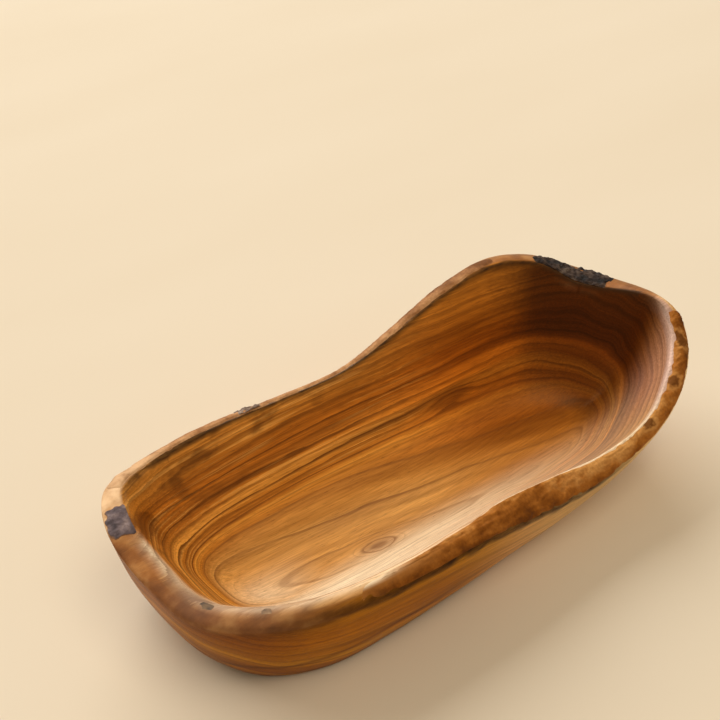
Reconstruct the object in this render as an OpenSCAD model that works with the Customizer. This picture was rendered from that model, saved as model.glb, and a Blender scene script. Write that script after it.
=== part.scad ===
// Rustic dish carved from one half of an olive branch, with the branch's natural edge left as its rim.
// X runs along the dish towards its tall end, Y runs across it, Z is up.
// The dish rests on Z = 0 and the origin is under the middle of its foot.

/* [Dish] */
// Length over the rim
dish_length = 218; // [170:1:280]
// Width over the rim
dish_width = 90; // [75:1:120]
// Height of the tall end above the table
dish_height = 62; // [55:1:80]

/* [Carving] */
// Width of the rim where it is broad
rim_width = 10; // [7:0.5:12]
// Rise of the rim from its outer edge to its inner edge where it is steep
rim_rise = 6; // [3:0.5:8]
// Height of the rounded crown along the middle of the rim
rim_crown = 0.8; // [0.4:0.1:1.5]
// Wood left under the hollow
floor_thickness = 9; // [6:0.5:12]

/* [Bark] */
// Thickness of the bast, the brown fibre layer next to the wood
bast_thickness = 1.2; // [0.6:0.1:2]
// Thickness of the dark bark left in places
bark_thickness = 1.2; // [0.8:0.1:2]

/* [Hidden] */
// Rim's outer edge, one row for each station, anticlockwise from the middle of the tall end.
// Shares of half the length, of half the width and of the height.
rim_path_shares = [
    [0.995, -0.07, 0.85],
    [0.97, 0.32, 0.82],
    [0.885, 0.665, 0.845],
    [0.745, 0.865, 0.945],
    [0.56, 0.98, 0.985],
    [0.34, 0.99, 0.90],
    [0.13, 0.98, 0.74],
    [-0.07, 0.975, 0.625],
    [-0.33, 0.98, 0.64],
    [-0.595, 0.985, 0.675],
    [-0.795, 0.94, 0.67],
    [-0.94, 0.78, 0.715],
    [-1.0, 0.445, 0.695],
    [-0.99, 0.055, 0.625],
    [-0.945, -0.39, 0.575],
    [-0.83, -0.71, 0.585],
    [-0.64, -0.91, 0.565],
    [-0.375, -0.975, 0.525],
    [-0.06, -0.99, 0.505],
    [0.215, -0.99, 0.435],
    [0.435, -0.98, 0.42],
    [0.635, -0.95, 0.51],
    [0.80, -0.83, 0.60],
    [0.93, -0.61, 0.70],
    [0.99, -0.355, 0.815]
];
// Section at the same stations: shares of rim_width and of rim_rise,
// then how far the foot stands in, as a share of the way from the rim to the middle of the dish
section_shares = [
    [0.45, 0.1, 0.64],
    [0.95, 0.1, 0.56],
    [1.15, 0.1, 0.43],
    [0.75, 0.1, 0.34],
    [0.65, 0.1, 0.29],
    [0.6, 0.25, 0.28],
    [0.5, 0.4, 0.27],
    [0.45, 0.6, 0.27],
    [0.45, 0.5, 0.26],
    [0.5, 0.4, 0.24],
    [0.55, 0.4, 0.23],
    [0.7, 0.2, 0.25],
    [0.85, 0.1, 0.29],
    [0.9, 0.15, 0.29],
    [0.85, 0.4, 0.28],
    [0.8, 0.5, 0.2],
    [0.7, 0.8, 0.16],
    [0.65, 0.9, 0.17],
    [0.85, 0.75, 0.21],
    [0.85, 0.85, 0.26],
    [0.6, 0.8, 0.33],
    [0.45, 0.75, 0.41],
    [0.65, 0.6, 0.55],
    [0.65, 0.4, 0.65],
    [0.6, 0.2, 0.68]
];
// Cells of the surface, along the rim between two stations and across each part of the section
columns_per_station = 6;
wall_cells = 7;
rim_cells = 3;
hollow_cells = 12;
// The outside wall is an arc, from this lean where it meets the foot to this lean under the rim
foot_lean = 18;
rim_lean = 66;
// The hollow and the foot draw in towards a middle line of this share of the dish's length
middle_share = 0.62;
// Flat strip of the hollow along the middle line, as a share of the hollow's width
strip_share = 0.1;
// Power of the curve from the strip up to the rim, steeper for a larger value
hollow_power = 2.7;
// Thickness left at the two ends of a bark or bast piece, as a share of its thickness
feather_share = 0.3;
// Stretch of the rim for each bark or bast piece, in turn from the tall end: the bare wood before the piece,
// then the piece itself, as shares that together fill the way round
far_end_bark_shares = [0.073, 0.08];
far_bast_shares = [0.02, 0.3];
tip_bark_shares = [0.02, 0.033];
near_end_bark_shares = [0.067, 0.013];
near_corner_bark_shares = [0.033, 0.007];
near_bast_shares = [0.027, 0.327];
// Start of the first stretch, as a share of the way round from the middle of the tall end
first_stretch_share = -0.033;
// Start and end of the bark patch that lies on the far bast, as shares of that piece's stretch
far_side_bark_shares = [0.62, 0.67];
// Colours
wood_colour = [0.72, 0.47, 0.22];
bast_colour = [0.50, 0.30, 0.13];
bark_colour = [0.16, 0.12, 0.10];

// Piece to draw

station_count = len(rim_path_shares);
column_count = station_count * columns_per_station;

function total(rows, i = 0) = i == len(rows) ? 0 : rows[i][0] + rows[i][1] + total(rows, i + 1);
stretch_total = total([far_end_bark_shares, far_bast_shares, tip_bark_shares, near_end_bark_shares,
                       near_corner_bark_shares, near_bast_shares]);

// First and last column of the rim under each piece, which follows the piece before it
function columns_after(column, shares) =
    let(way_round = column_count / stretch_total,
        start = column + shares[0] * way_round)
    [start, start + shares[1] * way_round];
far_end_bark_columns = columns_after(first_stretch_share * column_count, far_end_bark_shares);
far_bast_columns = columns_after(far_end_bark_columns[1], far_bast_shares);
tip_bark_columns = columns_after(far_bast_columns[1], tip_bark_shares);
near_end_bark_columns = columns_after(tip_bark_columns[1], near_end_bark_shares);
near_corner_bark_columns = columns_after(near_end_bark_columns[1], near_corner_bark_shares);
near_bast_columns = columns_after(near_corner_bark_columns[1], near_bast_shares);
far_side_bark_columns = [
    for (share = far_side_bark_shares)
        far_bast_columns[0] + share * (far_bast_columns[1] - far_bast_columns[0])
];

// Value part of the way round a closed list, on a smooth curve through its rows
function along(rows, place) =
    let(count = len(rows),
        start = floor(place),
        t = place - start,
        a = rows[(start + count - 1) % count],
        b = rows[start % count],
        c = rows[(start + 1) % count],
        d = rows[(start + 2) % count])
    (2 * b + (c - a) * t + (2 * a - 5 * b + 4 * c - d) * t * t + (3 * b - a - 3 * c + d) * t * t * t) / 2;

function wrap(column) = (column + column_count) % column_count;
function unit(v) = v / norm(v);

outer_edge = [
    for (column = [0:column_count - 1])
        let(shares = along(rim_path_shares, column / columns_per_station))
        [shares.x * dish_length / 2, shares.y * dish_width / 2, shares.z * dish_height]
];
section = [for (column = [0:column_count - 1]) along(section_shares, column / columns_per_station)];
// Level direction from the rim towards the middle of the dish
inward = [
    for (column = [0:column_count - 1])
        let(run = outer_edge[wrap(column + 1)] - outer_edge[wrap(column - 1)])
        unit([-run.y, run.x, 0])
];
inner_edge = [
    for (column = [0:column_count - 1])
        let(width = section[column][0] * rim_width,
            rise = section[column][1] * rim_rise)
        outer_edge[column] + inward[column] * width + [0, 0, rise]
];
// Direction square to the rim's surface, in which bark and bast stand on the wood
rim_normal = [
    for (column = [0:column_count - 1])
        let(run = outer_edge[wrap(column + 1)] - outer_edge[wrap(column - 1)],
            slope = inner_edge[column] - outer_edge[column])
        unit(cross(run, slope))
];

// Level place between the middle line, at 0, and a point of the rim, at 1
function towards_rim(edge, share) = [edge.x * (middle_share + (1 - middle_share) * share), edge.y * share];

// Point on the outside wall, 0 at the foot to 1 at the rim
function wall_point(column, share) =
    let(lean = foot_lean + (rim_lean - foot_lean) * share,
        out = (sin(lean) - sin(foot_lean)) / (sin(rim_lean) - sin(foot_lean)),
        up = (cos(foot_lean) - cos(lean)) / (cos(foot_lean) - cos(rim_lean)),
        edge = outer_edge[column])
    concat(towards_rim(edge, 1 - section[column][2] * (1 - out)), edge.z * up);

// Point across the rim, 0 at its outer edge to 1 at its inner edge
function rim_point(column, share) =
    let(slope = inner_edge[column] - outer_edge[column],
        crown = rim_crown * sin(180 * share))
    outer_edge[column] + slope * share + [0, 0, crown];

// Point on the hollow, 0 at the edge of the flat strip to 1 at the rim
function hollow_point(column, share) =
    let(edge = inner_edge[column],
        depth = edge.z - floor_thickness)
    concat(towards_rim(edge, strip_share + (1 - strip_share) * share),
           floor_thickness + depth * pow(share, hollow_power));

// Two triangles over the cell between a, b, c and d
function cell(a, b, c, d) = [[a, b, c], [a, c, d]];

// Triangles that close a ring of points across the dish, starting at point number first
function closing(first) = [
    for (column = [0:column_count / 2 - 1])
        let(a = first + column,
            b = a + 1,
            c = first + column_count - column - 1,
            d = first + wrap(column_count - column))
        each concat(b == c ? [] : [[a, c, b]], a == d ? [] : [[a, d, c]])
];

module dish_body() {
    columns = [0:column_count - 1];
    rings = concat(
        [for (i = [0:wall_cells - 1]) [for (column = columns) wall_point(column, i / wall_cells)]],
        [for (i = [0:rim_cells]) [for (column = columns) rim_point(column, i / rim_cells)]],
        [for (i = [1:hollow_cells]) [for (column = columns) hollow_point(column, 1 - i / hollow_cells)]]
    );
    points = [for (ring = rings) each ring];
    sides = [
        for (i = [0:len(rings) - 2], column = columns)
            let(low = i * column_count,
                high = low + column_count)
            each cell(low + column, high + column, high + wrap(column + 1), low + wrap(column + 1))
    ];
    under = [for (face = closing(0)) [face[0], face[2], face[1]]];
    color(wood_colour) polyhedron(points, concat(sides, under, closing(len(points) - column_count)));
}

// Layer over the rim between two columns, from the rim's cell outmost to its inner edge.
// It stands on the wood or on another layer of the thickness base.
module rim_layer(columns, base, thickness, outmost = 0) {
    first = round(columns[0]);
    last = max(first + 1, round(columns[1]));
    width = rim_cells - outmost + 1;
    count = (last - first + 1) * width;
    function layer_point(column, i, height) =
        rim_point(wrap(column), i / rim_cells) + rim_normal[wrap(column)] * height;
    function number(column, i) = (column - first) * width + i - outmost;
    low = [for (column = [first:last], i = [outmost:rim_cells]) layer_point(column, i, base)];
    high = [
        for (column = [first:last], i = [outmost:rim_cells])
            let(end = column == first || column == last)
            layer_point(column, i, base + thickness * (end ? feather_share : 1))
    ];
    top = [
        for (column = [first:last - 1], i = [outmost:rim_cells - 1])
            let(a = number(column, i),
                b = number(column + 1, i))
            each cell(a, a + 1, b + 1, b)
    ];
    border = concat(
        [for (i = [outmost:rim_cells - 1]) number(first, i)],
        [for (column = [first:last - 1]) number(column, rim_cells)],
        [for (i = [rim_cells:-1:outmost + 1]) number(last, i)],
        [for (column = [last:-1:first + 1]) number(column, outmost)]
    );
    side = [
        for (i = [0:len(border) - 1])
            let(a = border[i],
                b = border[(i + 1) % len(border)])
            each cell(a, b, count + b, count + a)
    ];
    lifted = [for (face = top) [for (point = face) point + count]];
    under = [for (face = top) [face[0], face[2], face[1]]];
    polyhedron(concat(low, high), concat(lifted, under, side));
}

module near_bast() color(bast_colour) rim_layer(near_bast_columns, 0, bast_thickness);
module far_bast() color(bast_colour) rim_layer(far_bast_columns, 0, bast_thickness);
module far_end_bark() color(bark_colour) rim_layer(far_end_bark_columns, 0, bark_thickness);
module far_side_bark() color(bark_colour) rim_layer(far_side_bark_columns, bast_thickness, bark_thickness);
module tip_bark() color(bark_colour) rim_layer(tip_bark_columns, 0, bark_thickness);
module near_end_bark() color(bark_colour) rim_layer(near_end_bark_columns, 0, bark_thickness, 1);
module near_corner_bark() color(bark_colour) rim_layer(near_corner_bark_columns, 0, bark_thickness, 1);

dish_body();
near_bast();
far_bast();
far_end_bark();
far_side_bark();
tip_bark();
near_end_bark();
near_corner_bark();
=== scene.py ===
import math

import bmesh
import bpy
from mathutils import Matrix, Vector, kdtree, noise
from mathutils.bvhtree import BVHTree


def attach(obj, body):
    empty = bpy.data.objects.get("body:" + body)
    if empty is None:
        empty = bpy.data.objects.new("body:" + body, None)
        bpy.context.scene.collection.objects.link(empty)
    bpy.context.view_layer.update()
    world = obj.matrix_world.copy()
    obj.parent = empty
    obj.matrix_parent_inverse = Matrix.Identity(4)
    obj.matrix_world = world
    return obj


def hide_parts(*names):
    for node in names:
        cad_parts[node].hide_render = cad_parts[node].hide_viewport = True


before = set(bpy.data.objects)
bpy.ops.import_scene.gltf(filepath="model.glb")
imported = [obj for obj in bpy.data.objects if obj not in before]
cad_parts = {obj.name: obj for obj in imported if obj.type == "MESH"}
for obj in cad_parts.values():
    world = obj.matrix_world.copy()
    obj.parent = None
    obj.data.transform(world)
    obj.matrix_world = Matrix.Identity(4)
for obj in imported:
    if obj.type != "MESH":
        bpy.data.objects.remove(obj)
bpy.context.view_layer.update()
scene = bpy.context.scene
scene.view_settings.view_transform = "Standard"
mm = 0.001

# Viewpoint of the photograph: a camera held over the low end of the dish, looking down along it.
# Its lens and its place were fitted to the outline of the dish.
camera_lens = bpy.data.cameras.new("camera")
camera_lens.lens = 50
camera_lens.sensor_width = 36
camera = bpy.data.objects.new("camera", camera_lens)
camera.location = (-163.6 * mm, -186.1 * mm, 278 * mm)
camera.rotation_euler = (math.radians(50), 0, math.radians(-36))
scene.collection.objects.link(camera)
scene.camera = camera


# Table: a plain pale table top under the dish, matt, with a faint warm cloudiness.
# It only catches the shadow and is not part of the dish.
class Finish:
    """A procedural material, with short ways to add its shader nodes. Its lengths are in millimetres."""

    def __init__(self, name):
        self.material = bpy.data.materials.new(name)
        self.material.use_nodes = True
        self.tree = self.material.node_tree
        self.shader = self.tree.nodes["Principled BSDF"]
        object_place = self.node("TexCoord", {}, "Object")
        self.place = self.node("Mapping", {"Vector": object_place, "Scale": (1 / mm,) * 3})

    def put(self, socket, value):
        """Links a socket to another node's output, or sets it to a plain value."""
        if isinstance(value, bpy.types.NodeSocket):
            self.tree.links.new(value, socket)
        else:
            socket.default_value = value

    def node(self, kind, inputs, output=0, **settings):
        made = self.tree.nodes.new("ShaderNode" + kind)
        for name, value in settings.items():
            setattr(made, name, value)
        for socket, value in inputs.items():
            self.put(made.inputs[socket], value)
        return made.outputs[output]

    def trait(self, name):
        """A value that the piece's mesh carries at each of its points."""
        return self.node("Attribute", {}, "Fac", attribute_name=name)

    def axes(self, vector, letters="XYZ"):
        return [self.node("SeparateXYZ", {0: vector}, letter) for letter in letters]

    def maths(self, operation, *values):
        return self.node("Math", dict(enumerate(values)), operation=operation)

    def product(self, *shares):
        result = shares[0]
        for share in shares[1:]:
            result = self.maths("MULTIPLY", result, share)
        return result

    def larger(self, first, second):
        return self.maths("MAXIMUM", first, second)

    def add_scaled(self, value, scale, base):
        return self.maths("MULTIPLY_ADD", value, scale, base)

    def vector(self, operation, *values):
        output = "Value" if operation in ("LENGTH", "DOT_PRODUCT") else "Vector"
        return self.node("VectorMath", dict(enumerate(values)), output, operation=operation)

    def cloud(self, place, lengths, detail=2.0, output="Fac"):
        """Soft noise with features of these lengths along X, Y and Z."""
        scaled = self.vector("DIVIDE", place, lengths)
        return self.node("TexNoise", {"Vector": scaled, "Scale": 1.0, "Detail": detail}, output)

    def fade(self, value, low, high):
        """Smooth step from 0 where the value is low to 1 where it is high."""
        inputs = {"Value": value, "From Min": low, "From Max": high}
        return self.node("MapRange", inputs, interpolation_type="SMOOTHSTEP")

    def span(self, value, low, high):
        """A value from 0 to 1 spread over another range."""
        return self.node("MapRange", {"Value": value, "To Min": low, "To Max": high})

    def mix(self, share, first, second, blend_type="MIX"):
        inputs = {0: share, 6: first, 7: second}
        return self.node("Mix", inputs, 2, data_type="RGBA", blend_type=blend_type)

    def tint(self, share, tone, colour):
        """A tone that is multiplied by a colour, by this share."""
        return self.mix(share, tone, colour, "MULTIPLY")

    def ramp(self, value, stops):
        """Colours that follow one another at these places between 0 and 1."""
        made = self.tree.nodes.new("ShaderNodeValToRGB")
        elements = made.color_ramp.elements
        while len(elements) < len(stops):
            elements.new(0.5)
        for element, (position, colour) in zip(elements, stops):
            element.position = position
            element.color = (*colour, 1)
        self.put(made.inputs[0], value)
        return made.outputs[0]

    def surface(self, inputs):
        """Sets the shader's own inputs."""
        for name, value in inputs.items():
            self.put(self.shader.inputs[name], value)

    def bump(self, height, distance, strength):
        inputs = {"Height": height, "Distance": distance, "Strength": strength}
        self.surface({"Normal": self.node("Bump", inputs)})

    def dress(self, piece):
        piece.data.materials.clear()
        piece.data.materials.append(self.material)


table_size = 3.2
table_drop = 0.05 * mm
table_colours = ((0.77, 0.66, 0.50, 1), (0.82, 0.72, 0.57, 1))

table_mesh = bpy.data.meshes.new("table")
bm = bmesh.new()
bmesh.ops.create_grid(bm, x_segments=1, y_segments=1, size=table_size / 2)
bmesh.ops.translate(bm, verts=bm.verts, vec=(0, 0, -table_drop))
bm.to_mesh(table_mesh)
bm.free()
table = bpy.data.objects.new("table", table_mesh)
scene.collection.objects.link(table)
table_finish = Finish("table_top")
table_clouds = table_finish.cloud(table_finish.place, lengths=(300, 90, 90))
table_finish.surface({
    "Base Color": table_finish.mix(table_clouds, *table_colours),
    "Roughness": 0.95,
    "Specular IOR Level": 0.1,
})
table_finish.dress(table)

# Light: a broad soft panel behind the dish and to its left, as from a window, a weak one over the camera,
# and an even pale surround.
surround_strength = 0.35
surround_seen = 0.9
surround_colour = (1, 0.88, 0.7, 1)
dish_middle = Vector((0, 0, 30 * mm))


def soft_panel(name, azimuth, elevation, distance, width, height, power, colour):
    """An area light that faces the dish, placed by its direction as seen from the dish."""
    lamp = bpy.data.lights.new(name, "AREA")
    lamp.shape = "RECTANGLE"
    lamp.size = width
    lamp.size_y = height
    lamp.energy = power
    lamp.color = colour
    turn, rise = math.radians(azimuth), math.radians(elevation)
    towards = Vector((math.cos(turn) * math.cos(rise), math.sin(turn) * math.cos(rise), math.sin(rise)))
    panel = bpy.data.objects.new(name, lamp)
    panel.location = dish_middle + towards * distance
    panel.rotation_euler = towards.to_track_quat("Z", "Y").to_euler()
    scene.collection.objects.link(panel)


soft_panel("window_light", azimuth=92, elevation=36, distance=3.6, width=5.0, height=3.0, power=160,
           colour=(1, 0.985, 0.96))
soft_panel("front_light", azimuth=285, elevation=70, distance=1.8, width=1.0, height=1.0, power=9,
           colour=(1, 0.88, 0.72))

world = bpy.data.worlds.new("surround")
world.use_nodes = True
scene.world = world
background = world.node_tree.nodes["Background"]
background.inputs["Color"].default_value = surround_colour
light_path = world.node_tree.nodes.new("ShaderNodeLightPath")
strength = world.node_tree.nodes.new("ShaderNodeMapRange")
strength.inputs["To Min"].default_value = surround_strength
strength.inputs["To Max"].default_value = surround_seen
world.node_tree.links.new(light_path.outputs["Is Camera Ray"], strength.inputs["Value"])
world.node_tree.links.new(strength.outputs[0], background.inputs["Strength"])

# Carved dish: half an olive branch, hollowed with gouges from the bark side, sanded and oiled.
# The branch's own edge is left as the rim, and the foot is planed flat.
merge_reach = 0.01 * mm
flat_angle = math.radians(40)
sharp_angle = math.radians(28)
foot_reach = 1 * mm
crisp_edge, worn_edge = 0.75, 0.25
worn_end, worn_side = -62 * mm, -5 * mm
worn_reach, worn_factor = 6 * mm, 0.5
worn_limits = (0, 8 * mm, 16 * mm)
edge_samples = 8


def merged_copy(node):
    """A copy of a CAD node's mesh with its loose triangles joined into a skin of quads."""
    copy = bmesh.new()
    copy.from_mesh(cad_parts[node].data)
    bmesh.ops.remove_doubles(copy, verts=copy.verts, dist=merge_reach)
    bmesh.ops.join_triangles(copy, faces=copy.faces, angle_face_threshold=flat_angle,
                             angle_shape_threshold=math.pi)
    return copy


def smoothed(copy, name, levels):
    """A piece made from the copy by subdividing its skin into a smooth surface."""
    control = bpy.data.meshes.new(name)
    copy.to_mesh(control)
    copy.free()
    piece = bpy.data.objects.new(name, control)
    scene.collection.objects.link(piece)
    skin = piece.modifiers.new("skin", "SUBSURF")
    skin.levels = skin.render_levels = levels
    evaluated = piece.evaluated_get(bpy.context.evaluated_depsgraph_get())
    piece.data = bpy.data.meshes.new_from_object(evaluated)
    piece.modifiers.clear()
    bpy.data.meshes.remove(control)
    piece.data.name = name
    piece.data.shade_smooth()
    return piece


def tree_of(points):
    """A search tree that finds the nearest of these points."""
    tree = kdtree.KDTree(len(points))
    for i, point in enumerate(points):
        tree.insert(point, i)
    tree.balance()
    return tree


def step(value, low, high):
    """Smooth step from 0 where the value is low to 1 where it is high."""
    share = min(max((value - low) / (high - low), 0), 1)
    return share * share * (3 - 2 * share)


# The rim's two sharp edges, which stay crisp except where handling has worn the inner one round.
wood = merged_copy("dish_body")
cad_wood = BVHTree.FromBMesh(wood)
crease = wood.edges.layers.float.new("crease_edge")
outer_points, inner_points = [], []
for edge in wood.edges:
    if edge.calc_face_angle(0) < sharp_angle:
        continue
    start, end = (vert.co for vert in edge.verts)
    if start.z < foot_reach:
        edge[crease] = crisp_edge
        continue
    under = min(face.normal.z for face in edge.link_faces) < 0
    worn = start.x < worn_end and not under or start.x < worn_side and start.y < 0
    edge[crease] = worn_edge if worn else crisp_edge
    points = outer_points if under else inner_points
    points.extend(start.lerp(end, i / edge_samples) for i in range(edge_samples))
outer_edge, inner_edge = tree_of(outer_points), tree_of(inner_points)
for limit in worn_limits:
    worn_verts = [
        vert for vert in wood.verts
        if vert.co.x < worn_side and vert.co.y < limit and inner_edge.find(vert.co)[2] < worn_reach
    ]
    bmesh.ops.smooth_vert(wood, verts=worn_verts, factor=worn_factor,
                          use_axis_x=True, use_axis_y=True, use_axis_z=True)
dish = smoothed(wood, "carved_dish", levels=2)

# Gouge marks and sanding; where the rim is beveled and weathered; painted sheen on the lip; stain and painted
# shadow at its edges.
# Each pair of limits goes from none to all of what it is named for.
gouge_length, gouge_depth = 19 * mm, 0.2 * mm
sanding_length, sanding_depth = 6 * mm, 0.06 * mm
flat_foot = 0.05 * mm
off_bevel = (1.05, 1.4)
weathered_across, fresh_along = (-8 * mm, 0), (-85 * mm, -45 * mm)
off_lip = (0.6 * mm, 1.8 * mm)
sheen_reach = 5.5 * mm
sheen_across, sheen_end_along, sheen_end_across = (0, 8 * mm), (-80 * mm, -60 * mm), (8 * mm, 18 * mm)
stain_length, stain_wander = 7 * mm, 0.7
off_far_stain, off_near_stain = (0.75 * mm, 1.5 * mm), (1.2 * mm, 3 * mm)
far_stain_along = (-102 * mm, -88 * mm)
near_stain_along, near_stain_back = (-112 * mm, -40 * mm), (72 * mm, 35 * mm)
facing_down = -0.2
hollow_middle, hollow_share = 40 * mm, 0.6
normals = [vert.normal.copy() for vert in dish.data.vertices]
traits = {"stain_and_shadow": [], "bevel": [], "rim": [], "lip": [], "outside": []}
for vert, normal in zip(dish.data.vertices, normals):
    point = vert.co.copy()
    if point.z > flat_foot:
        swell = gouge_depth * noise.noise(point / gouge_length)
        swell += sanding_depth * noise.noise(point / sanding_length)
        vert.co += normal * swell
        vert.co.z = max(vert.co.z, 0)
    outer, _, to_outer = outer_edge.find(point)
    to_inner = inner_edge.find(point)[2]
    rim_width = inner_edge.find(outer)[2]
    from_bevel = (to_outer + to_inner) / rim_width
    on_bevel = 1 - step(from_bevel, *off_bevel)
    weathered_side = max(step(point.y, *weathered_across), 1 - step(point.x, *fresh_along))
    # Painted sheen on the lip: along the near side and round the low end, stopping short of the far side.
    sheen_side = max(step(-point.y, *sheen_across), 1 - step(point.x, *sheen_end_along))
    sheen_side *= 1 - step(point.y, *sheen_end_across)
    ragged = 1 + stain_wander * noise.noise(point / stain_length)
    # Dark line along the rim's edges, inside the far edge and below the near edge: partly a stain, partly
    # painted shadow under the overhanging rim.
    stain_and_shadow_share = 0
    if to_inner < to_outer and point.y > 0:
        stain_and_shadow_share = step(point.x, *far_stain_along)
        stain_and_shadow_share *= 1 - step(to_inner, *(limit * ragged for limit in off_far_stain))
    elif to_outer < to_inner and point.y < 0:
        stain_and_shadow_share = step(point.x, *near_stain_along) * step(point.x, *near_stain_back)
        stain_and_shadow_share *= 1 - step(to_outer, *(limit * ragged for limit in off_near_stain))
    inwards = Vector((hollow_share * point.x, 0, hollow_middle)) - point
    in_hollow = to_inner < to_outer if from_bevel < off_bevel[1] else normal.dot(inwards) > 0
    traits["stain_and_shadow"].append(stain_and_shadow_share)
    traits["bevel"].append(on_bevel)
    traits["rim"].append(on_bevel * step(to_inner, *off_lip) * weathered_side)
    traits["lip"].append((1 - step(to_inner, 0, sheen_reach)) * sheen_side)
    traits["outside"].append(0 if in_hollow and normal.z > facing_down else 1)
for name, values in traits.items():
    dish.data.attributes.new(name, "FLOAT", "POINT").data.foreach_set("value", values)


def knot_shade(finish, place, centre, lengths):
    """1 at the centre of a knot, falling off to 0 over these lengths."""
    offset = finish.vector("DIVIDE", finish.vector("SUBTRACT", place, centre), lengths)
    square = finish.vector("DOT_PRODUCT", offset, offset)
    return finish.maths("EXPONENT", finish.maths("MULTIPLY", square, -1.0))


def wavy(finish, place, waves):
    """A place pushed sideways by waves, each given by its lengths and about how far it pushes."""
    for lengths, reach in waves:
        shift = finish.cloud(place, lengths, detail=0.6, output="Color")
        centred = finish.vector("ADD", place, (0, -reach, -reach))
        place = finish.vector("MULTIPLY_ADD", shift, (0, 2 * reach, 2 * reach), centred)
    return place


grain = Finish("oiled_olive_wood")
along, across, height = grain.axes(grain.place)
facing_end = grain.axes(grain.node("TexCoord", {}, "Normal"), "X")[0]
outside, bevel, rim, lip, stain_and_shadow = (grain.trait(name) for name in ("outside", "bevel", "rim", "lip", "stain_and_shadow"))
inside = grain.span(outside, low=1, high=0)


def zone(**limits):
    """Share of the wood within limits along, across and up, each from where it starts to where it is full."""
    measures = {"along": along, "across": across, "height": height, "facing_end": facing_end}
    return grain.product(*(grain.fade(measures[name], *ends) for name, ends in limits.items()))


on_wall = grain.larger(zone(height=(9.5, 20)), outside)
on_floor = grain.span(on_wall, low=1, high=0)

# Growth rings of the walls, round a pith that runs along under the dish, pulled in by a knot.
ring_waves = (((170, 60, 60), 6), ((90, 9, 12), 2.2), ((24, 4, 4), 0.2))
pith_offset = (0, -9, 30)
pith_slant = math.atan(0.125)
wall_knot_pull = -5
bent = wavy(grain, grain.place, ring_waves)
round_pith = grain.node("Mapping", {"Vector": bent, "Location": pith_offset, "Rotation": (0, 0, -pith_slant)})
wall_knot = knot_shade(grain, bent, centre=(31, 25, 21), lengths=(12, 4, 5))
wall_radius = grain.vector("LENGTH", grain.vector("MULTIPLY", round_pith, (0, 1, 1)))
wall_radius = grain.add_scaled(wall_knot, wall_knot_pull, wall_radius)

# Long loops on the floor, where the cut runs along a ring, round the eye of a small branch.
floor_waves = (((50, 16, 16), 1.4), ((11, 5, 5), 0.6))
eye_waves = (((12, 8, 8), 1.0), ((3, 2, 2), 0.35))
eye_centre = (-28, -11, 9)
eye_slant = math.radians(10)
eye_tip, eye_tail = 7.3, 30
eye_radius, eye_spread, eye_pull = 31.6, 0.25, -1.2
from_eye = grain.node("Mapping", {
    "Vector": grain.vector("SUBTRACT", wavy(grain, grain.place, floor_waves), eye_centre),
    "Rotation": (0, 0, eye_slant),
})
eye_along, eye_across = grain.axes(from_eye, "XY")
eye_distance = grain.vector("LENGTH", grain.node("CombineXYZ", {
    0: grain.maths("DIVIDE", grain.maths("MINIMUM", eye_along, 0), eye_tip),
    1: grain.maths("DIVIDE", grain.maths("MAXIMUM", eye_along, 0), eye_tail),
    2: eye_across,
}))
floor_eye = knot_shade(grain, wavy(grain, from_eye, eye_waves), centre=(0, 0, 0), lengths=(9, 3.2, 12))
floor_radius = grain.add_scaled(eye_distance, eye_spread, eye_radius)
floor_radius = grain.add_scaled(floor_eye, eye_pull, floor_radius)
radius = grain.span(on_wall, low=floor_radius, high=wall_radius)
ring_place = grain.node("CombineXYZ", {0: radius, 1: along})

# Colour of the wood from the floor's heartwood out to the walls.
rings_from, rings_to = 30, 90
band_stops = (
    (0.00, (0.82, 0.38, 0.085)),
    (0.10, (0.85, 0.41, 0.095)),
    (0.17, (0.74, 0.27, 0.030)),
    (0.22, (0.88, 0.37, 0.050)),
    (0.25, (0.74, 0.26, 0.028)),
    (0.33, (0.79, 0.29, 0.032)),
    (0.39, (0.88, 0.38, 0.060)),
    (0.45, (0.74, 0.26, 0.028)),
    (0.51, (0.79, 0.28, 0.032)),
    (0.56, (0.55, 0.17, 0.014)),
    (0.66, (0.57, 0.18, 0.015)),
    (0.75, (0.68, 0.25, 0.028)),
    (1.00, (0.74, 0.33, 0.060)),
)
band_place = grain.node("MapRange", {"Value": radius, "From Min": rings_from, "From Max": rings_to})
tone = grain.ramp(band_place, band_stops)

# Outside: pale sapwood with painted bounce light towards the tall end, and calm behind.
# At the low end, painted shade darker at the foot and under the rim, with a dark grain line between.
pale_sapwood_and_bounce = (1.0, 0.66, 0.27, 1)
sapwood_and_bounce_share = 0.9
side_height = 40
side_stops = (
    (0.00, (0.46, 0.41, 0.10)),
    (0.08, (0.62, 0.58, 0.14)),
    (0.20, (0.73, 0.71, 0.18)),
    (0.25, (0.36, 0.31, 0.08)),
    (0.29, (0.74, 0.74, 0.20)),
    (0.50, (0.88, 0.94, 0.26)),
    (0.70, (0.80, 0.82, 0.22)),
    (0.85, (0.58, 0.54, 0.16)),
)
calm_side = (0.84, 0.88, 1.2, 1)
# Pale sapwood on the near outside towards the tall end, partly painted bounce light on this shaded wall.
sapwood_and_bounce = grain.product(outside, zone(across=(-15, -32), along=(-30, 45)), sapwood_and_bounce_share)
tone = grain.mix(sapwood_and_bounce, tone, pale_sapwood_and_bounce)
# Painted shade at the low end's near outside: darker towards the foot and under the rim, lighter at
# mid-height, with one dark grain line.
side_level = grain.maths("DIVIDE", grain.axes(bent, "Z")[0], side_height)
low_side = grain.product(outside, zone(along=(10, -25), across=(5, -15)))
tone = grain.tint(low_side, tone, grain.ramp(side_level, side_stops))
tone = grain.tint(grain.product(outside, zone(across=(-10, 10))), tone, calm_side)

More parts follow.
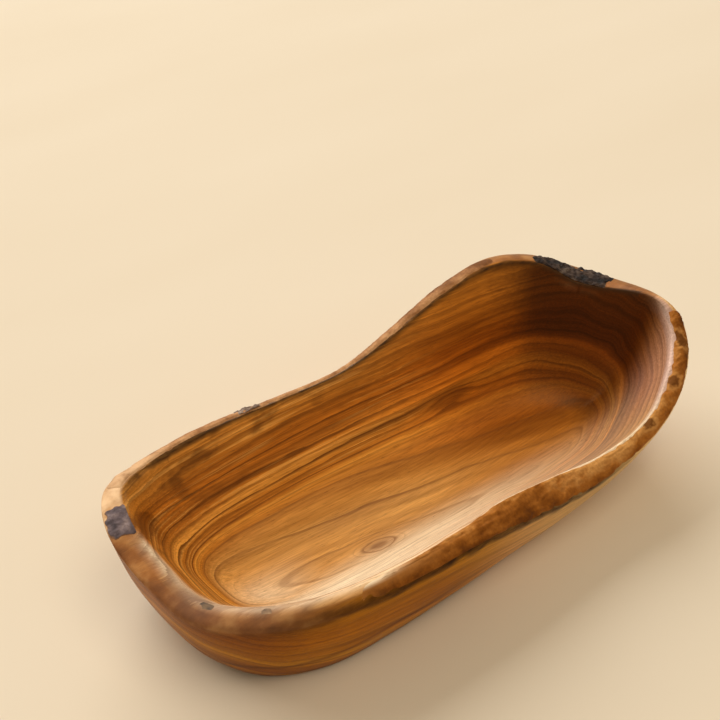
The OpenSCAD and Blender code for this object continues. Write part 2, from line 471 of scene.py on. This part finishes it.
# Broad light and dark bands along the rings, and golden streaks on the low half of the walls.
wall_band_stops = ((0.35, (0.5, 0.45, 0.4)), (0.65, (1.18, 1.22, 1.28)))
floor_band_stops = ((0.35, (0.76, 0.7, 0.62)), (0.65, (1.1, 1.12, 1.15)))
far_floor_tint = (0.8, 0.62, 0.35, 1)
golden_streak = (1.0, 0.50, 0.11, 1)
golden_share = 0.6
wall_band = grain.cloud(ring_place, lengths=(5, 120, 1), detail=3)
wall_band_share = grain.product(grain.span(on_wall, low=0.5, high=1), grain.span(outside, low=1, high=0.6))
tone = grain.tint(wall_band_share, tone, grain.ramp(wall_band, wall_band_stops))
floor_band = grain.cloud(ring_place, lengths=(1, 70, 1), detail=3)
tone = grain.tint(on_floor, tone, grain.ramp(floor_band, floor_band_stops))
# The floor darker and browner towards the tall end.
tone = grain.tint(grain.product(on_floor, zone(along=(-10, 45))), tone, far_floor_tint)
golden = grain.fade(grain.cloud(ring_place, lengths=(1.8, 70, 1), detail=3), low=0.52, high=0.66)
golden = grain.product(golden, zone(along=(45, -15)), on_wall, inside, golden_share)
tone = grain.mix(golden, tone, golden_streak)

# Painted sheen: pale cream painted on the near inner wall, the low floor and the lip, where light glances off
# the oiled wood.
painted_sheen_colour = (1.0, 0.82, 0.56, 1)
low_floor_sheen_share = 0.6
near_wall = grain.product(inside, zone(across=(-6, -20)), grain.span(bevel, low=1, high=0))
painted_sheen = grain.product(near_wall, grain.span(zone(along=(75, -30)), low=0.3, high=1))
low_floor_sheen = grain.product(zone(along=(-45, -72), height=(16, 9.5), across=(8, -8)), inside, low_floor_sheen_share)
painted_sheen = grain.larger(grain.larger(painted_sheen, low_floor_sheen), lip)
sheen_share = grain.span(zone(along=(-20, -50)), low=0.85, high=0.97)
tone = grain.mix(grain.product(painted_sheen, sheen_share), tone, painted_sheen_colour)

# Lines at the rings' ends: dark and thin on the walls, brown and broader with a soft side on the floor.
ring_width, fine_ring_width = 3.3, 1.1
fine_ring_share = 0.55
dark_ring = (0.10, 0.026, 0.003, 1)
floor_ring = (0.24, 0.085, 0.02, 1)


def ring_lines(width, wander, faintest, deepest=0.85, rarity=1.4):
    """Dark late wood at the end of each ring, of a depth that differs from ring to ring."""
    drift = grain.span(grain.cloud(ring_place, lengths=(2.5 * width, 60, 1)), low=-wander, high=wander)
    drift = grain.product(drift, grain.span(on_wall, low=0.3, high=1))
    feather = grain.span(grain.cloud(bent, lengths=(9, 0.8, 0.8)), low=-0.15, high=0.15)
    number = grain.maths("ADD", grain.maths("DIVIDE", radius, width), drift)
    number = grain.add_scaled(feather, zone(height=(12, 24)), number)
    ring = grain.maths("FLOOR", number)
    chance = grain.node("TexWhiteNoise", {"W": ring}, "Value", noise_dimensions="1D")
    depth = grain.span(grain.maths("POWER", chance, rarity), low=faintest, high=deepest)
    share = grain.maths("FRACT", number)
    late_start = grain.span(on_wall, low=0.86, high=0.4)
    late_full = grain.span(on_wall, low=0.95, high=0.9)
    late_end = grain.span(on_wall, low=0.97, high=0.98)
    soft_side = grain.product(grain.fade(share, low=0.3, high=0.97), grain.span(on_wall, low=0.45, high=0))
    late = grain.larger(grain.fade(share, late_start, late_full), soft_side)
    return grain.product(late, grain.fade(share, 1.0, late_end), depth)


fine_rings = grain.product(ring_lines(fine_ring_width, wander=0.8, faintest=0), fine_ring_share)
ring_dark = grain.larger(ring_lines(ring_width, wander=0.9, faintest=0.4), fine_rings)
broken = grain.fade(grain.cloud(ring_place, lengths=(0.9, 40, 1), detail=3), low=0.22, high=0.46)
ring_dark = grain.product(
    ring_dark,
    grain.larger(broken, grain.span(on_wall, low=0.8, high=0)),
    grain.span(outside, low=1, high=0.5),
    grain.span(painted_sheen, low=1, high=0.5),
    grain.span(zone(along=(-20, 50)), low=1, high=0.6),
)
tone = grain.mix(ring_dark, tone, grain.mix(on_wall, floor_ring, dark_ring))

# The wall's knot, the small rings in the floor's eye and dark mottling high on the far wall.
wall_knot_share = 0.55
eye_ring_count = 3
eye_share = 0.4
mottle_share = 0.6
knot_dark = grain.product(grain.fade(wall_knot, low=0.15, high=0.8), wall_knot_share)
tone = grain.mix(knot_dark, tone, dark_ring)
eye_rings = grain.fade(grain.maths("FRACT", grain.product(floor_eye, eye_ring_count)), low=0.4, high=0.9)
eye_rings = grain.product(eye_rings, grain.fade(floor_eye, low=0.2, high=0.4), eye_share)
eye_dark = grain.add_scaled(grain.fade(floor_eye, low=0.25, high=0.7), eye_share, eye_rings)
tone = grain.mix(eye_dark, tone, floor_ring)
mottle = grain.fade(grain.cloud(bent, lengths=(17, 8, 9), detail=4), low=0.5, high=0.64)
mottle = grain.product(mottle, zone(height=(22, 32), along=(10, -45), across=(-10, 5)), inside, mottle_share)
tone = grain.mix(mottle, tone, dark_ring)

# Fine fibres and pores, cut lengthwise.
fibre_stops = ((0.3, (0.78, 0.75, 0.72)), (0.7, (1.12, 1.14, 1.17)))
pore_share = 0.4
fibre = grain.cloud(bent, lengths=(14, 0.55, 0.55), detail=4)
tone = grain.tint(1.0, tone, grain.ramp(fibre, fibre_stops))
pores = grain.fade(grain.cloud(grain.place, lengths=(3.2, 0.28, 0.28), detail=1), low=0.66, high=0.74)
tone = grain.mix(grain.product(pores, pore_share), tone, dark_ring)

# Dark heartwood with painted shade on the tall end's inner wall, the floor darker towards the tall end,
# warm and smoky tints in the tall end, and painted shade outside the low end.
dark_heart_and_shade = (0.15, 0.095, 0.06, 1)
far_floor_share = 0.3
warm_end = (1.06, 0.86, 0.45, 1)
smoky_end = (0.82, 0.72, 0.9, 1)
low_end_shade = (0.66, 0.58, 0.5, 1)
# Dark heartwood and end grain on the tall end's inner wall, deepened by painted shade that grows towards the
# rim.
heart_and_shade = grain.product(zone(along=(10, 85), facing_end=(0.15, -0.45), across=(-24, -4)), inside)
heart_and_shade = grain.product(heart_and_shade, grain.span(zone(height=(14, 44)), low=0.72, high=1))
far_floor = grain.product(zone(along=(5, 55), across=(-12, 3)), far_floor_share)
tone = grain.tint(grain.larger(heart_and_shade, far_floor), tone, dark_heart_and_shade)
tone = grain.tint(grain.product(zone(along=(-5, 40), across=(-15, 5)), on_wall, inside), tone, warm_end)
smoky = grain.product(zone(along=(62, 88), across=(16, -6), height=(16, 30)), inside)
tone = grain.tint(smoky, tone, smoky_end)
# Painted shade on the outside of the low end, under its rim.
tone = grain.tint(zone(along=(-50, -90), facing_end=(0, -0.6)), tone, low_end_shade)

# Rim: weathered brown, bleached at the left tip, bruised at the low end, and darkened along its edges by a
# stained line and painted shadow under the rim's overhang.
weathered_stops = ((0.35, (0.18, 0.08, 0.042)), (0.5, (0.33, 0.14, 0.057)), (0.65, (0.55, 0.28, 0.11)))
bleached_tip = (0.9, 0.6, 0.34, 1)
bruised_rim = (0.18, 0.10, 0.07, 1)
bruises = (((-97, -15, 39), 0.7), ((-84, -30, 39), 0.3))
dark_stain_and_shadow = (0.035, 0.012, 0.004, 1)
weathered = grain.ramp(grain.cloud(grain.place, lengths=(9, 7, 7), detail=4), weathered_stops)
tone = grain.mix(grain.product(rim, grain.span(painted_sheen, low=0.65, high=0.3)), tone, weathered)
bleached = grain.fade(grain.cloud(grain.place, lengths=(7, 7, 7), detail=4), low=0.25, high=0.7)
bleached = grain.product(bleached, zone(across=(14, 24), along=(-78, -98)), rim)
tone = grain.mix(bleached, tone, bleached_tip)
for centre, depth in bruises:
    bruised = grain.product(knot_shade(grain, grain.place, centre, lengths=(8, 9, 4)), depth)
    tone = grain.mix(bruised, tone, bruised_rim)
patchy = grain.span(grain.cloud(grain.place, lengths=(4, 1.5, 1.5), detail=3), low=0.5, high=1.2)
# A dark stained line with painted shadow under the rim's overhang, patchy along its length.
tone = grain.mix(grain.product(stain_and_shadow, patchy), tone, dark_stain_and_shadow)

pore_depth = 0.6
grain.surface({
    "Base Color": tone,
    "Roughness": grain.span(fibre, low=0.28, high=0.46),
    "Specular IOR Level": grain.span(outside, low=0.25, high=0.08),
    "Specular Tint": (1, 0.72, 0.38, 1),
    "Sheen Weight": grain.span(outside, low=0.03, high=0),
    "Sheen Roughness": 0.4,
    "Sheen Tint": (1, 0.72, 0.4, 1),
})
grain.bump(grain.maths("SUBTRACT", fibre, grain.product(pores, pore_depth)), distance=0.12 * mm, strength=0.5)
grain.dress(dish)
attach(dish, "root")
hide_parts("dish_body")

# Bast on the near side: the brown fibre layer between wood and bark, rough where the bark came away.
# It covers the outer part of the bevel, and all of it from the bulge to the tall end.
# Each stop gives a place along the dish in millimetres, and the value there.
near_reach = ((-75, 0.8), (-50, 1.0), (-30, 1.2), (-11, 1.2), (30, 1.08), (60, 0.9), (110, 0.87))
near_thickness = (
    (-72, -0.5), (-58, -0.1), (-42, 0.28), (-16, 0.55), (-8, 1.0), (12, 1.0), (30, 0.85), (110, 0.85))
near_ragged = ((-75, 0.02), (-22, 0.05), (-8, 0.14), (110, 0.16))
near_tones = ((0.13, 0.036, 0.004), (0.25, 0.075, 0.007), (0.38, 0.13, 0.018), (0.60, 0.28, 0.075))
near_light_steps = ((0, 55, 0.2), (65, 105, -0.22))
near_knots = (
    ((100.5, -23.9, 47.7), (2.5, 5, 4)),
    ((86.6, -33.6, 41.7), (4, 3, 3)),
    ((67.4, -40.1, 36.2), (3.5, 2.5, 2.5)),
)
dish_half_length, dish_half_width = 109 * mm, 45 * mm
end_taper, end_wander = 12 * mm, 6 * mm
tear_length, fine_tear_length = 5 * mm, 2 * mm
fine_tear_share = 0.5
border_width = 0.25
border_sink = 0.15 * mm
lump_length, near_lump_share = 5 * mm, 0.16
near_fibre_lengths = (3.5 * mm, 1.3 * mm, 1.3 * mm)
near_fibre_share, near_fibre_middle = 0.4, 0.7
octaves = 3
wood_surface = BVHTree.FromObject(dish, bpy.context.evaluated_depsgraph_get())


def level_at(stops, x):
    """Value at x on straight lines between the stops."""
    for (low, first), (high, second) in zip(stops, stops[1:]):
        if x <= high * mm:
            share = max((x / mm - low) / (high - low), 0)
            return first + (second - first) * share
    return stops[-1][1]


def grown_layer(node, name, levels, relief, ragged, reach, thickness, bare=0.0):
    """A bark or bast piece that follows the finished wood, with a rough top and a ragged border.

    It runs across the bevel from the bare share at the outer edge to its reach, and where its thickness
    is below zero it lies hidden in the wood.
    """
    layer = smoothed(merged_copy(node), name, levels)
    turns = [
        math.atan2(vert.co.y / dish_half_width, vert.co.x / dish_half_length) for vert in layer.data.vertices]
    first, last = min(turns), max(turns)
    length = Vector(layer.dimensions).length
    taper = min(end_taper, length / 2)
    shares, bodies = [], []
    for vert, turn in zip(layer.data.vertices, turns):
        point = vert.co.copy()
        to_outer = outer_edge.find(point)[2]
        to_inner = inner_edge.find(point)[2]
        share = to_outer / (to_outer + to_inner)
        to_end = min(turn - first, last - turn) / (last - first) * length / taper
        tear = noise.noise(point / tear_length)
        tears = tear + fine_tear_share * noise.noise(point / fine_tear_length)
        border = min(share - bare, level_at(reach, point.x) - share, to_end)
        body = step(border + level_at(ragged, point.x) * tears, 0.0, border_width)
        foot, normal, _, _ = wood_surface.find_nearest(point)
        cad_height = cad_wood.find_nearest(point)[3]
        top = cad_height * level_at(thickness, point.x + end_wander * tear) * (1 + relief(point))
        vert.co = foot + normal * (top * body - (1 - body) * border_sink)
        shares.append(share)
        bodies.append(body)
    layer.data.attributes.new("across", "FLOAT", "POINT").data.foreach_set("value", shares)
    layer.data.attributes.new("body", "FLOAT", "POINT").data.foreach_set("value", bodies)
    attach(layer, "root")
    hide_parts(node)
    return layer


def near_relief(point):
    """Lumps and torn fibres, as a share of the layer's thickness."""
    lumps = noise.noise(point / lump_length)
    stretched = Vector(part / length for part, length in zip(point, near_fibre_lengths))
    fibres = noise.turbulence(stretched, octaves, False)
    return near_lump_share * lumps + near_fibre_share * (fibres - near_fibre_middle)


def bast_finish(name, tones, wear_and_sheen, bleach, light_steps, knots):
    """Fibrous brown bast in these tones, from its cracks to its fresh fibres.
    It is darker towards its outer edge and lighter towards the lip, as painted shade and highlight.

    It is worn thin and pale at the low end of the near side, where it also takes the lip's painted sheen,
    or bleached at the left tip, by these shares, and lighter or darker along the dish by the light steps.
    """
    tone_places = (0.28, 0.42, 0.56, 0.78)
    fleck_stops = ((0.3, (0.82, 0.79, 0.76)), (0.7, (1.12, 1.13, 1.15)))
    worn_tone = (0.45, 0.19, 0.05, 1)
    edge_shade_and_highlight, lump_light, base_light = 0.32, 0.8, -0.09
    knot_wander = 2
    knot_halo, knot_core = 0.5, 0.85
    low_end_lip = 0.12
    fleck_depth = 0.5
    finish = Finish(name)
    length_place = finish.axes(finish.place, "X")[0]
    share = finish.trait("across")
    lumps = finish.cloud(finish.place, lengths=(7, 7, 7), detail=4)
    flecks = finish.cloud(finish.place, lengths=(0.9, 0.9, 0.9), detail=3)
    # Painted shade and highlight across the rounded band: darker at the outer edge, lighter towards the lip.
    light = finish.add_scaled(share, edge_shade_and_highlight, finish.add_scaled(lumps, lump_light, base_light))
    for start, end, rise in light_steps:
        light = finish.add_scaled(finish.fade(length_place, start, end), rise, light)
    tone = finish.ramp(light, tuple(zip(tone_places, tones)))
    tone = finish.tint(1.0, tone, finish.ramp(flecks, fleck_stops))
    shift = finish.cloud(finish.place, lengths=(2, 2, 2), output="Color")
    centred = finish.vector("ADD", finish.place, (-knot_wander,) * 3)
    shifted = finish.vector("MULTIPLY_ADD", shift, (2 * knot_wander,) * 3, centred)
    for centre, lengths in knots:
        shade = knot_shade(finish, shifted, centre, lengths)
        halo = finish.product(finish.fade(shade, low=0.1, high=0.35), knot_halo)
        core = finish.product(finish.fade(shade, low=0.4, high=0.75), knot_core)
        tone = finish.mix(halo, tone, (*tones[-1], 1))
        tone = finish.mix(core, tone, (*tones[0], 1))
    worn = finish.product(finish.fade(share, low=0.2, high=0.8), finish.fade(length_place, low=-18, high=-45))
    worn = finish.larger(worn, finish.fade(length_place, low=-45, high=-70))
    tone = finish.mix(finish.product(worn, wear_and_sheen), tone, worn_tone)
    # The lip's painted sheen, carried onto the bast's inner edge at the low end.
    lip_share = finish.add_scaled(finish.fade(length_place, low=-25, high=-55), low_end_lip, share)
    bast_lip_sheen = finish.fade(lip_share, low=0.6, high=0.9)
    bast_lip_sheen = finish.product(bast_lip_sheen, finish.fade(length_place, low=-34, high=-58))
    tone = finish.mix(finish.product(bast_lip_sheen, wear_and_sheen), tone, painted_sheen_colour)
    tip = finish.product(finish.fade(length_place, low=-70, high=-98), finish.fade(lumps, low=0.3, high=0.6))
    tone = finish.mix(finish.product(tip, bleach), tone, bleached_tip)
    finish.surface({
        "Base Color": tone,
        "Roughness": finish.span(flecks, low=0.5, high=0.8),
        "Specular IOR Level": 0.15,
        "Specular Tint": (1, 0.75, 0.45, 1),
    })
    finish.bump(finish.add_scaled(flecks, fleck_depth, lumps), distance=0.25 * mm, strength=0.6)
    return finish


near_bast = grown_layer("near_bast", "near_edge_bast", levels=3, relief=near_relief, ragged=near_ragged,
                        reach=near_reach, thickness=near_thickness)
near_fibre = bast_finish("near_bast_fibre", near_tones, wear_and_sheen=0.95, bleach=0.0, light_steps=near_light_steps,
                         knots=near_knots)
near_fibre.dress(near_bast)

# Bast on the far side: the same layer, thinner, rubbed pale and smooth along the rim.
# It stops short of the inner edge, where the wood is darkened by a stained line and painted shadow, and runs
# out before the tall end.
far_reach = ((0, 0.9),)
far_thickness = ((-110, 0.6), (40, 0.6), (66, -0.1), (110, -0.1))
far_ragged = ((0, 0.12),)
far_tones = ((0.18, 0.065, 0.018), (0.36, 0.16, 0.06), (0.50, 0.25, 0.105), (0.66, 0.38, 0.18))
far_light_steps = ((20, 70, -0.15),)
far_lump_share = 0.15
far_fibre_length = 1.7 * mm
far_fibre_share, far_fibre_middle = 0.15, 0.75


def far_relief(point):
    """Low lumps and fine fibres, as a share of the layer's thickness."""
    lumps = noise.noise(point / lump_length)
    fibres = noise.turbulence(point / far_fibre_length, octaves, False)
    return far_lump_share * lumps + far_fibre_share * (fibres - far_fibre_middle)


far_bast = grown_layer("far_bast", "far_edge_bast", levels=3, relief=far_relief, ragged=far_ragged,
                       reach=far_reach, thickness=far_thickness)
far_fibre = bast_finish("far_bast_fibre", far_tones, wear_and_sheen=0.0, bleach=0.6, light_steps=far_light_steps,
                        knots=())
far_fibre.dress(far_bast)

# Bark at the tall end: the largest remnant of the dry outer bark, black and deeply cracked.
# It still holds to the bevel of the rim, as it grew on the branch.
bark_reach = ((0, 1.2),)
torn_bark, rubbed_bark = ((0, 0.4),), ((0, 0.15),)
block_length, block_share = 4 * mm, 0.6
crumb_length, crumb_share = 1.8 * mm, 0.35
bark_wear = 0.5


def bark_relief(point):
    """Blocks between cracks, and crumbs on them, as a share of the layer's thickness."""
    nearest, next_nearest = noise.voronoi(point / block_length)[0][:2]
    crumbs = noise.turbulence(point / crumb_length, octaves, False)
    return block_share * (next_nearest - nearest) + crumb_share * crumbs - bark_wear


def bark_finish(name, tones, border_tone=None):
    """Dry bark in these tones, from its cracks to its ridges, which may blend into a tone at its border."""
    tone_places = (0.35, 0.5, 0.62, 0.75)
    finish = Finish(name)
    patches = finish.cloud(finish.place, lengths=(4, 4, 4), detail=4)
    tone = finish.ramp(patches, tuple(zip(tone_places, tones)))
    if border_tone:
        tone = finish.mix(finish.fade(finish.trait("body"), low=1.0, high=0.6), tone, border_tone)
    finish.surface({
        "Base Color": tone,
        "Roughness": finish.span(patches, low=0.6, high=0.95),
        "Specular IOR Level": 0.3,
    })
    crumbs = finish.cloud(finish.place, lengths=(1.2, 1.2, 1.2), detail=4)
    finish.bump(crumbs, distance=0.25 * mm, strength=0.7)
    return finish


def bark_remnant(node, finish, ragged, thickness, bare=0.0):
    """A bark piece of an even share of its CAD thickness, in its finish."""
    layer = grown_layer(node, node + "_remnant", levels=4, relief=bark_relief, ragged=ragged,
                        reach=bark_reach, thickness=((0, thickness),), bare=bare)
    finish.dress(layer)


black_tones = ((0.006, 0.004, 0.003), (0.025, 0.013, 0.009), (0.08, 0.05, 0.035), (0.24, 0.19, 0.15))
bark_remnant("far_end_bark", bark_finish("black_bark", black_tones), torn_bark, thickness=0.9)

# Bark half-way along the far side: a small grey remnant, dry and rough.
# It lies on the far bast, which holds it to the rim.
grey_tones = ((0.10, 0.06, 0.05), (0.20, 0.135, 0.10), (0.30, 0.21, 0.16), (0.44, 0.34, 0.27))
bark_remnant("far_side_bark", bark_finish("grey_bark", grey_tones), torn_bark, thickness=0.75)

# Bark at the left tip: a grey-purple remnant, worn by handling.
# It lies on the bevel of the rim and thins out to brown at its borders.
mauve_tones = ((0.06, 0.042, 0.046), (0.14, 0.10, 0.105), (0.25, 0.185, 0.18), (0.40, 0.30, 0.27))
mauve_border = (0.24, 0.12, 0.06, 1)
bark_remnant("tip_bark", bark_finish("mauve_bark", mauve_tones, mauve_border), torn_bark, thickness=0.5)

# Bark mark on the low end's rim: a small grey flake, rubbed almost flush with the wood.
# It is left on the inner part of the bevel.
thin_tones = ((0.05, 0.038, 0.03), (0.11, 0.075, 0.05), (0.20, 0.125, 0.07), (0.34, 0.22, 0.13))
thin_border = (0.50, 0.27, 0.12, 1)
bark_remnant("near_end_bark", bark_finish("thin_bark", thin_tones, thin_border), rubbed_bark, thickness=0.08,
             bare=0.4)

# Bark mark at the low end's near corner: a smaller and paler flake beside the other one.
# It too is rubbed almost flush, on the inner part of the bevel.
pale_tones = ((0.14, 0.09, 0.055), (0.26, 0.16, 0.09), (0.42, 0.26, 0.14), (0.60, 0.40, 0.23))
# The cream border carries the lip's painted sheen onto the flake.
pale_sheen_border = (0.85, 0.58, 0.34, 1)
bark_remnant("near_corner_bark", bark_finish("pale_bark", pale_tones, pale_sheen_border), rubbed_bark,
             thickness=0.06, bare=0.4)
